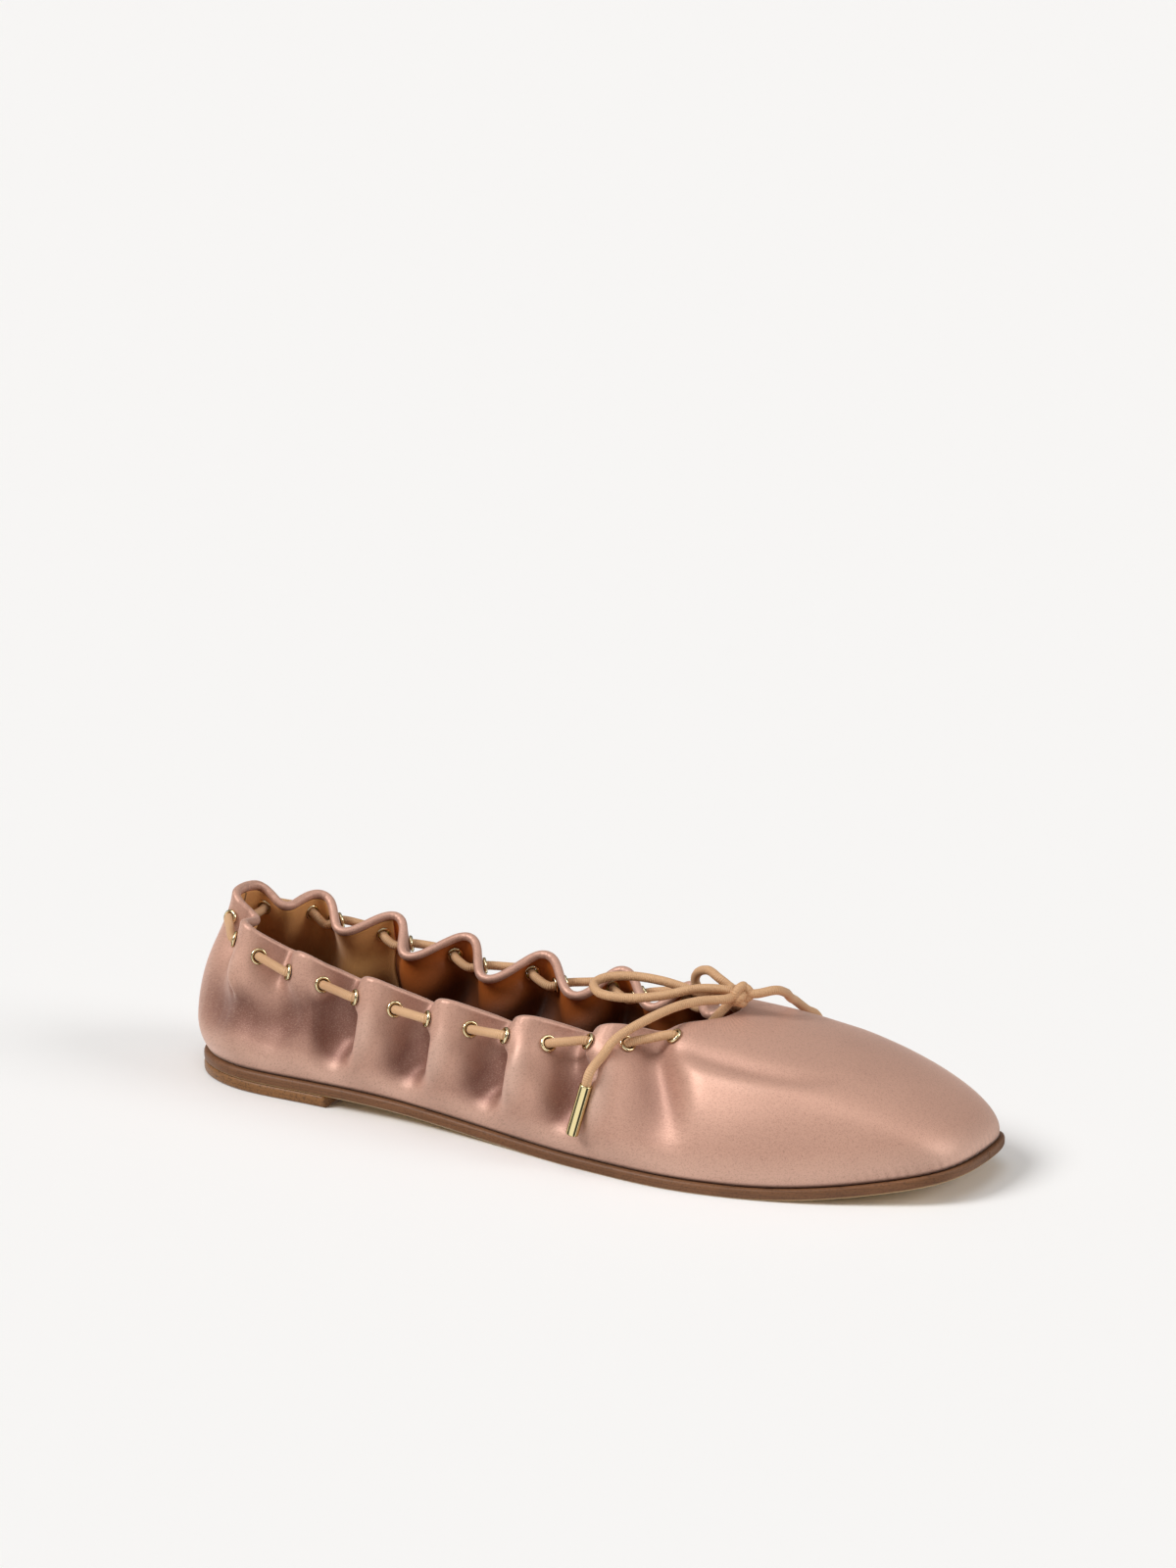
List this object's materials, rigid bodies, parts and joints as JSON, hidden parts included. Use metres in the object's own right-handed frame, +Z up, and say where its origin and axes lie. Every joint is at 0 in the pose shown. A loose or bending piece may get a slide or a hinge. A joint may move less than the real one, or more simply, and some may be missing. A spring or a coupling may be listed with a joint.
{
  "type": "ballet flat",
  "caption": "Right ballet flat: soft satin upper gathered round the collar by a leather drawcord in gold eyelets, tied in a bow, on a thin leather sole with a low heel lift.",
  "frame": {"origin": "centre of the shoe's outline, on the floor it stands on", "axes": "+X from heel to toe, +Y towards the inner side of the foot, +Z up"},
  "size_m": [0.2516, 0.0815, 0.0541],
  "materials": {
    "satin": "satin",
    "sole_leather": "smooth",
    "stacked_leather": "polished edge",
    "sock_leather": "smooth",
    "lace_leather": "smooth",
    "pale_gold": "polished"
  },
  "bodies": {
    "root": {"upper": "satin", "back_strip": "satin", "outsole": "sole_leather", "heel_lift": "stacked_leather", "insole": "sock_leather", "eyelet_near_1a": "pale_gold", "eyelet_near_1b": "pale_gold", "eyelet_near_2a": "pale_gold", "eyelet_near_2b": "pale_gold", "eyelet_near_3a": "pale_gold", "eyelet_near_3b": "pale_gold", "eyelet_near_4a": "pale_gold", "eyelet_near_4b": "pale_gold", "eyelet_near_5a": "pale_gold", "eyelet_near_5b": "pale_gold", "eyelet_near_6a": "pale_gold", "eyelet_near_6b": "pale_gold", "eyelet_near_7a": "pale_gold", "eyelet_near_7b": "pale_gold", "eyelet_far_1a": "pale_gold", "eyelet_far_1b": "pale_gold", "eyelet_far_2a": "pale_gold", "eyelet_far_2b": "pale_gold", "eyelet_far_3a": "pale_gold", "eyelet_far_3b": "pale_gold", "eyelet_far_4a": "pale_gold", "eyelet_far_4b": "pale_gold", "eyelet_far_5a": "pale_gold", "eyelet_far_5b": "pale_gold", "eyelet_far_6a": "pale_gold", "eyelet_far_6b": "pale_gold", "eyelet_far_7a": "pale_gold", "eyelet_far_7b": "pale_gold", "aglet_near": "pale_gold", "aglet_far": "pale_gold", "lace_bar_near_1": "lace_leather", "lace_bar_near_2": "lace_leather", "lace_bar_near_3": "lace_leather", "lace_bar_near_4": "lace_leather", "lace_bar_near_5": "lace_leather", "lace_bar_near_6": "lace_leather", "lace_bar_near_7": "lace_leather", "lace_bar_far_1": "lace_leather", "lace_bar_far_2": "lace_leather", "lace_bar_far_3": "lace_leather", "lace_bar_far_4": "lace_leather", "lace_bar_far_5": "lace_leather", "lace_bar_far_6": "lace_leather", "lace_bar_far_7": "lace_leather", "lace_knot": "lace_leather", "lace_loop_near": "lace_leather", "lace_end_near": "lace_leather", "lace_loop_far": "lace_leather", "lace_end_far": "lace_leather"}
  },
  "joints": []
}
